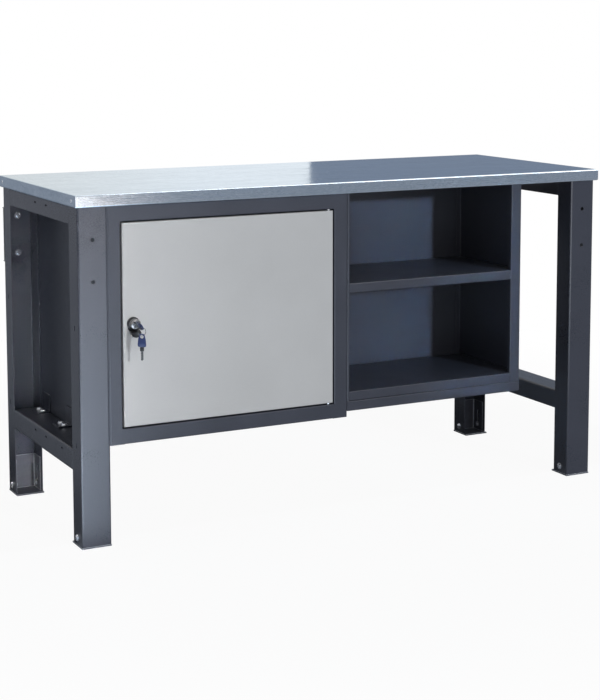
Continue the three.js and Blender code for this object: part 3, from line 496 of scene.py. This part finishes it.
hem_radius = 0.003
hem_edge = 0.0008
lip_reach = 0.025
hem_turn = Matrix.Rotation(math.pi / 2, 4, "X")
for side in ("left", "right"):
    cross_low, cross_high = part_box(f"{side}_lower_crosspiece")
    hem_length = cross_high.y - cross_low.y
    mesh = bmesh.new()
    for lip_x in (cross_low.x + lip_reach + hem_radius, cross_high.x - lip_reach - hem_radius):
        hem_place = Vector((lip_x, (cross_low.y + cross_high.y) / 2, cross_low.z + hem_radius / 2))
        bmesh.ops.create_cone(
            mesh, cap_ends=True, segments=16, radius1=hem_radius, radius2=hem_radius, depth=hem_length,
            matrix=Matrix.Translation(hem_place) @ hem_turn)
    hem_ends = [edge for edge in mesh.edges if edge.calc_length() < hem_length / 2]
    round_edges(mesh, hem_ends, hem_edge, 2)
    hem = finished_object(f"{side}_crosspiece_hem", mesh, frame_coat)
    shade(hem)
    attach(hem, "bench")


# The feet are folded from dull zinc plated sheet and welded to a floor plate. Every rounded edge,
# fold or cut, is given a paler, shinier metal: painted highlight, partly the bare steel of cut edges.
def plated(name, scale, dark, pale, smooth, rough, metal):
    """Plated steel: a cloudy tone and shine, and a share of bare metal under a milky film."""
    material, tree, shader, place = principled(name)
    shader.inputs["Metallic"].default_value = metal
    cloud = noise(tree, place, scale, 6, 0.6)
    tree.links.new(between(tree, cloud, dark, pale), shader.inputs["Base Color"])
    tree.links.new(spread(tree, cloud, smooth, rough), shader.inputs["Roughness"])
    return material


foot_steel = plated("foot_steel", 45, (0.075, 0.08, 0.10), (0.15, 0.16, 0.195), 0.34, 0.46, 0.3)
# Paler, shinier metal for the rounded edges of the feet: a painted highlight, partly bare cut steel.
painted_edge_highlight = plated("painted_edge_highlight", 300, (0.55, 0.58, 0.63), (0.80, 0.84, 0.90), 0.25, 0.40, 0.6)
for corner in corners:
    finish(f"{corner}_foot", foot_steel, 0.0008)
    # The feet's rounded edges take the painted edge highlight as a second material.
    nodes[f"{corner}_foot"].data.materials.append(painted_edge_highlight)
    nodes[f"{corner}_foot"].modifiers["rounding"].material = 1


# Bolts are zinc plated, each with a domed hexagon head, a washer under it and a nut behind.
# One stands for each packed bolt, with the same head, length and place.
zinc = plated("zinc_plate", 160, (0.60, 0.62, 0.66), (0.84, 0.86, 0.90), 0.18, 0.30, 0.8)
hexagon = 0.0075
head_height = 0.0050
head_edge = 0.0017
dome_radius = 0.62 * hexagon
dome_depth = 0.0012
dome_rise = 0.0003
dome_edge = 0.0010
nut_height = 0.0060
nut_tail = 0.0015
nut_edge = 0.0006
washer_radius = 0.0088
washer_height = 0.0012
washer_edge = 0.0002
shank_radius = 0.0040
shank_edge = 0.0005
rim_tolerance = 1e-7


def drum(mesh, radius, low, high, sides, edge, both_rims=True):
    """A round or hexagonal disc along Z between two heights. Its upper rim or both are rounded."""
    made = bmesh.ops.create_cone(
        mesh, cap_ends=True, segments=sides, radius1=radius, radius2=radius, depth=high - low,
        matrix=Matrix.Translation((0, 0, (low + high) / 2)))
    drum_verts = set(made["verts"])
    rims = []
    for rim in mesh.edges:
        heights = [end.co.z for end in rim.verts]
        top = min(heights) > high - rim_tolerance
        foot = max(heights) < low + rim_tolerance
        if rim.verts[0] in drum_verts and (top or (foot and both_rims)):
            rims.append(rim)
    round_edges(mesh, rims, edge, 2)


def hexagon_bolt(node, axis, sense):
    """Stands for a packed bolt. The head looks along the axis in the given sense."""
    low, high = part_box(node)
    place = (low + high) / 2
    place[axis] = high[axis] if sense > 0 else low[axis]
    length = high[axis] - low[axis]
    mesh = bmesh.new()
    drum(mesh, hexagon, -head_height + washer_height, -dome_rise, 6, head_edge, both_rims=False)
    drum(mesh, dome_radius, -dome_depth, 0, 24, dome_edge, both_rims=False)
    drum(mesh, washer_radius, -head_height, -head_height + washer_height, 32, washer_edge)
    drum(mesh, hexagon, -length + nut_tail, -length + nut_tail + nut_height, 6, nut_edge)
    drum(mesh, shank_radius, -length, -head_height, 24, shank_edge)
    direction = Vector((0, 0, 0))
    direction[axis] = sense
    turn = direction.to_track_quat("Z", "Y").to_matrix().to_4x4()
    bmesh.ops.transform(mesh, matrix=Matrix.Translation(place) @ turn, verts=mesh.verts)
    bolt = finished_object(f"{node}_set", mesh, zinc)
    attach(bolt, "bench")
    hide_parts(node)


for corner in corners:
    outward = 1 if "right" in corner else -1
    hexagon_bolt(f"{corner}_foot_bolt_outer", 0, outward)
    hexagon_bolt(f"{corner}_foot_bolt_inner", 0, -outward)
for count in range(1, 5):
    hexagon_bolt(f"bracket_bolt_{count}", 2, 1)
    hexagon_bolt(f"tie_bolt_{count}", 1, -1)


# Small pan-head screws hold the side lips of the tray to the board, one near each end. Each head
# is a flattened half ball on the face of the lip.
screw_radius = 0.0042
screw_height = 0.0016
screw_inset = 0.030
for side, face in (("left", worktop_low.x), ("right", worktop_high.x)):
    outward = -1 if side == "left" else 1
    for end, screw_y in (("front", worktop_low.y + screw_inset), ("rear", worktop_high.y - screw_inset)):
        mesh = bmesh.new()
        bmesh.ops.create_uvsphere(mesh, u_segments=20, v_segments=10, radius=screw_radius)
        bmesh.ops.bisect_plane(
            mesh, geom=mesh.verts[:] + mesh.edges[:] + mesh.faces[:],
            plane_co=(0, 0, 0), plane_no=(0, 0, -1), clear_outer=True)
        bmesh.ops.scale(mesh, vec=(1, 1, screw_height / screw_radius), verts=mesh.verts)
        bmesh.ops.contextual_create(mesh, geom=[edge for edge in mesh.edges if edge.is_boundary])
        turn = Vector((outward, 0, 0)).to_track_quat("Z", "Y").to_matrix().to_4x4()
        screw_place = Vector((face, screw_y, worktop_middle.z))
        bmesh.ops.transform(mesh, matrix=Matrix.Translation(screw_place) @ turn, verts=mesh.verts)
        screw = finished_object(f"lip_screw_{side}_{end}", mesh, zinc)
        screw.data.shade_smooth()
        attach(screw, "bench")


# The cabinet and the shelf unit are 1.25 mm sheet in the same dark colour, coated a little duller.
# The hinge pins are bare zinc.
cabinet_coat = powder_coated("cabinet_coat", (0.039, 0.0437, 0.060), 520, 0.42, 0.36, 0.0003, 0.6)
sheet_pieces = [
    "cabinet_left_side", "cabinet_right_side", "cabinet_bottom", "cabinet_top", "cabinet_back",
    "cabinet_shelf", "unit_base", "unit_left_side", "unit_right_side", "unit_back",
    "unit_middle_shelf", "unit_bottom_shelf", "door_stiffener",
]
for piece in sheet_pieces:
    finish(piece, cabinet_coat, 0.0003)
for piece in ("hinge_pin_bottom", "hinge_pin_top"):
    finish(piece, zinc, 0.0003)


# Paint bridges the joints in the front of the cabinet: a skin over the end of each rail, and a
# sunk fillet that half fills the groove between the cabinet and the leg beside it.
skin_half = 0.0045
skin_proud = 0.0001
skin_thickness = 0.0010
fillet_half = 0.0024
fillet_depth = 0.0007
skin_edge = 0.00008
stile_low, stile_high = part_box("cabinet_left_side")
door_low, door_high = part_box("door_panel")
door_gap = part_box("cabinet_top")[0].z - door_high.z
leg_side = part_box("front_left_leg")[1].x
rail_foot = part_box("cabinet_bottom")[0].z
mesh = bmesh.new()
skins = [((leg_side + stile_low.x) / 2, fillet_half, rail_foot, stile_high.z, -fillet_depth)]
for rail in ("cabinet_bottom", "cabinet_top"):
    rail_low, rail_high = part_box(rail)
    for edge_x in (door_low.x - door_gap, door_high.x + door_gap):
        skins.append((edge_x, skin_half, rail_low.z, rail_high.z, skin_proud))
for middle_x, half, low, high, proud in skins:
    plate = bmesh.ops.create_cube(mesh, size=1)["verts"]
    bmesh.ops.scale(mesh, vec=(2 * half, skin_thickness, high - low), verts=plate)
    middle_y = stile_low.y - proud + skin_thickness / 2
    bmesh.ops.translate(mesh, vec=(middle_x, middle_y, (low + high) / 2), verts=plate)
round_edges(mesh, mesh.edges[:], skin_edge, 2)
bridges = finished_object("cabinet_joint_skins", mesh, cabinet_coat)
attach(bridges, "bench")


# The door is a folded pan in a light grey coat with a fine sandy skin, paler and more even than
# the coat of the frame.
door_coat = powder_coated("door_coat", (0.475, 0.487, 0.495), 480, 0.13, 0.40, 0.0004, 0.5)
finish("door_panel", door_coat, 0.0003)


# The lock: a chrome barrel and plug in a black moulded finger pull. The barrel is turned from bar,
# with a rounded front edge and a shallow seat round the plug.
chrome = plated("lock_chrome", 300, (0.22, 0.215, 0.215), (0.34, 0.335, 0.335), 0.10, 0.18, 1)
hinges = [joint for joint in frame["joints"] if joint["type"] == "hinge"]
pivots = {hinge["name"]: Vector(hinge["pos_m"]) for hinge in hinges}
lock_axis = pivots["lock_turn"]
barrel_low, barrel_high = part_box("lock_barrel")
flange_seat = 0.0063
flange_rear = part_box("lock_pull")[1].y - flange_seat
flange_radius = (barrel_high.x - barrel_low.x) / 2
barrel_radius = 0.0093
plug_bore = 0.0063
seat_radius = 0.0078
seat_depth = 0.0008
flange_edge = 0.0045
barrel_steps = 64
mesh = bmesh.new()
profile = [
    (plug_bore, barrel_high.y), (barrel_radius, barrel_high.y), (barrel_radius, flange_rear),
    (flange_radius, flange_rear), (flange_radius, barrel_low.y), (seat_radius, barrel_low.y),
    (seat_radius - seat_depth, barrel_low.y + seat_depth), (plug_bore, barrel_low.y + seat_depth),
]
section = [mesh.verts.new((lock_axis.x + radius, y, lock_axis.z)) for radius, y in profile]
for first, second in zip(section, section[1:] + section[:1]):
    mesh.edges.new((first, second))
outer_edge = section[4]
bmesh.ops.bevel(
    mesh, geom=[outer_edge], offset=flange_edge, segments=6, profile=0.5, affect="VERTICES",
    material=-1)
bmesh.ops.spin(
    mesh, geom=mesh.verts[:] + mesh.edges[:], cent=lock_axis, axis=(0, 1, 0), angle=2 * math.pi,
    steps=barrel_steps, use_merge=True)
bmesh.ops.remove_doubles(mesh, verts=mesh.verts, dist=1e-6)
bmesh.ops.recalc_face_normals(mesh, faces=mesh.faces)
barrel = finished_object("lock_barrel_turned", mesh, chrome)
shade(barrel, 35)
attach(barrel, "door")
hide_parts("lock_barrel")
finish("lock_plug", chrome, 0.0002)
for piece in ("lock_nut", "lock_cam"):
    finish(piece, zinc, 0.0003)


def moulded(name, colour, dull, grain, depth):
    """Moulded plastic with a fine spark-eroded skin."""
    material, tree, shader, place = principled(name)
    skin = noise(tree, place, grain)
    low = [0.8 * part for part in colour]
    high = [1.2 * part for part in colour]
    tree.links.new(between(tree, skin, low, high), shader.inputs["Base Color"])
    shader.inputs["Roughness"].default_value = dull
    bump(tree, shader, skin, 0.2, depth)
    return material


black_plastic = moulded("black_plastic", (0.012, 0.012, 0.014), 0.35, 1500, 0.0002)
finish("lock_pull", black_plastic, 0.0006)


# Keys: plated steel blades in dark blue moulded bows, with a small black block below each bow. One
# is in the lock, and the spare hangs from it on a split ring of spring wire.
blue_plastic = moulded("blue_plastic", (0.020, 0.036, 0.125), 0.3, 1200, 0.0002)
key_steel = plated("key_steel", 500, (0.07, 0.07, 0.072), (0.20, 0.20, 0.20), 0.22, 0.36, 1)
bow_length = 0.032
bow_half = 0.01075
bow_tip_half = 0.0065
bow_corner = 0.002
bow_round = 0.0018
bow_edge = 0.0009
bow_fold = 1.2
bow_thickness = 0.0030
bow_hole = 0.0044
hole_inset = 0.007
bow_foot = hole_inset - bow_length
waist_height = -0.008
waist_half = bow_half - 0.0012
shoulder_height = hole_inset - 0.0022
crown_half = 0.0035
# Size and place of the small black block below each bow.
dark_block_length = 0.0094
dark_block_half = 0.0048
dark_block_thickness = 0.0036
dark_block_edge = 0.0008
dark_block_gap = 0.0003
key_turn = math.radians(-25)
spare_turn = math.radians(50)
spare_drop = 0.0016
key_places = {
    "key": (
        Vector((lock_axis.x, pivots["key_ring_swing"].y, lock_axis.z)),
        Matrix.Rotation(key_turn, 4, "Y") @ Matrix.Rotation(math.pi / 2, 4, "X"), "lock_rotor"),
    "spare_key": (
        pivots["spare_key_swing"] - Vector((0, 0, spare_drop)),
        Matrix.Rotation(spare_turn, 4, "Z"), "spare_key"),
}
for key, (hole, turn, body) in key_places.items():
    placed = Matrix.Translation(hole) @ turn
    mesh = bmesh.new()
    half_outline = [
        (bow_half - bow_corner, bow_foot), (bow_half, bow_foot + 2 * bow_corner),
        (waist_half, waist_height), (bow_tip_half, shoulder_height), (crown_half, hole_inset),
    ]
    outline = half_outline + [(-y, z) for y, z in reversed(half_outline)]
    rim = [mesh.verts.new((-bow_thickness / 2, y, z)) for y, z in outline]
    for first, second in zip(rim, rim[1:] + rim[:1]):
        mesh.edges.new((first, second))
    bmesh.ops.bevel(
        mesh, geom=rim, offset=bow_round, segments=3, profile=0.5, affect="VERTICES", material=-1)
    bmesh.ops.create_circle(
        mesh, cap_ends=False, segments=32, radius=bow_hole,
        matrix=Matrix.Translation((-bow_thickness / 2, 0, 0)) @ Matrix.Rotation(math.pi / 2, 4, "Y"))
    bmesh.ops.bridge_loops(mesh, edges=mesh.edges[:])
    bmesh.ops.recalc_face_normals(mesh, faces=mesh.faces)
    raised = bmesh.ops.extrude_face_region(mesh, geom=mesh.faces[:])
    bmesh.ops.translate(
        mesh, vec=(bow_thickness, 0, 0),
        verts=[part for part in raised["geom"] if isinstance(part, bmesh.types.BMVert)])
    bmesh.ops.recalc_face_normals(mesh, faces=mesh.faces)
    joined = [edge for edge in mesh.edges if len(edge.link_faces) == 2]
    round_edges(mesh, [edge for edge in joined if edge.calc_face_angle() > bow_fold], bow_edge, 3)
    bmesh.ops.transform(mesh, matrix=placed, verts=mesh.verts)
    bow = finished_object(f"{key}_bow_moulded", mesh, blue_plastic)
    shade(bow)
    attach(bow, body)
    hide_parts(f"{key}_bow")
    finish(f"{key}_blade", key_steel, 0.0002)
    # A small black block of the black plastic, below the bow.
    mesh = bmesh.new()
    bmesh.ops.create_cube(mesh, size=1)
    bmesh.ops.scale(mesh, vec=(dark_block_thickness, 2 * dark_block_half, dark_block_length), verts=mesh.verts)
    round_edges(mesh, mesh.edges[:], dark_block_edge, 3)
    bmesh.ops.translate(mesh, vec=(0, 0, bow_foot - dark_block_gap - dark_block_length / 2), verts=mesh.verts)
    bmesh.ops.transform(mesh, matrix=placed, verts=mesh.verts)
    dark_block = finished_object(f"{key}_collar", mesh, black_plastic)
    shade(dark_block)
    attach(dark_block, body)
ring_wire = 0.0005
ring_radius = 0.010
ring_turns = 2
ring_steps = 64
ring_middle = pivots["key_ring_swing"] - Vector((0, 0, ring_radius))
mesh = bmesh.new()
bmesh.ops.create_circle(
    mesh, cap_ends=False, segments=10, radius=ring_wire,
    matrix=Matrix.Translation(ring_middle + Vector((ring_radius, -ring_wire * ring_turns, 0))))
bmesh.ops.spin(
    mesh, geom=mesh.verts[:] + mesh.edges[:], cent=ring_middle, axis=(0, 1, 0),
    dvec=(0, 2 * ring_wire / ring_steps, 0), angle=2 * math.pi * ring_turns,
    steps=ring_steps * ring_turns, use_merge=False)
bmesh.ops.holes_fill(mesh, edges=[edge for edge in mesh.edges if edge.is_boundary])
bmesh.ops.recalc_face_normals(mesh, faces=mesh.faces)
split_ring = finished_object("key_ring_split", mesh, key_steel)
shade(split_ring)
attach(split_ring, "key_ring")
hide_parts("key_ring")
